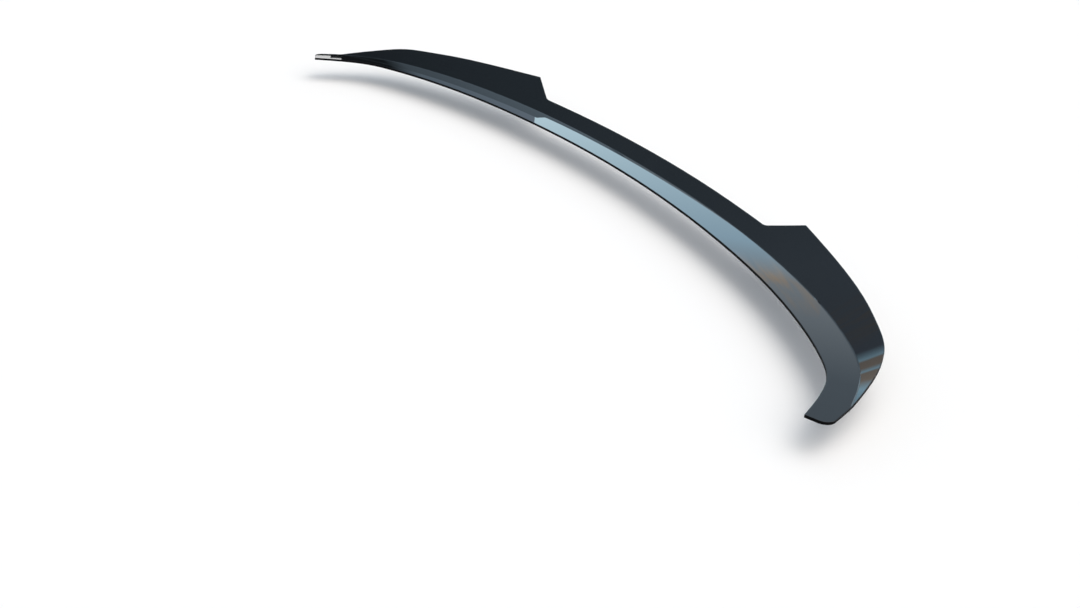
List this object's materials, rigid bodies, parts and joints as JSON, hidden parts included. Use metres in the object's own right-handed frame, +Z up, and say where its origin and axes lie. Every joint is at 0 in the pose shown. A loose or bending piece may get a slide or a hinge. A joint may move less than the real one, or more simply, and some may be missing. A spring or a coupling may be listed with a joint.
{
  "type": "spoiler extension",
  "caption": "Low stick-on boot lip spoiler in gloss black sheet, swept forward at the ends, with a stepped upturned rear lip and red-lined tape under its base.",
  "frame": {"origin": "middle of the stuck face, on the mirror plane, half way across the tape", "axes": "+X across the car towards its right side seen from behind, +Y towards the car's rear, +Z up, away from the boot lid"},
  "size_m": [1.1584, 0.244, 0.0356],
  "materials": {
    "black_sheet": "polished gloss face, satin back",
    "foam_tape": "closed-cell acrylic foam",
    "red_film": "smooth satin film"
  },
  "bodies": {
    "root": {"spoiler_shell": "black_sheet", "adhesive_tape": "foam_tape", "release_liner": "red_film"}
  },
  "joints": []
}
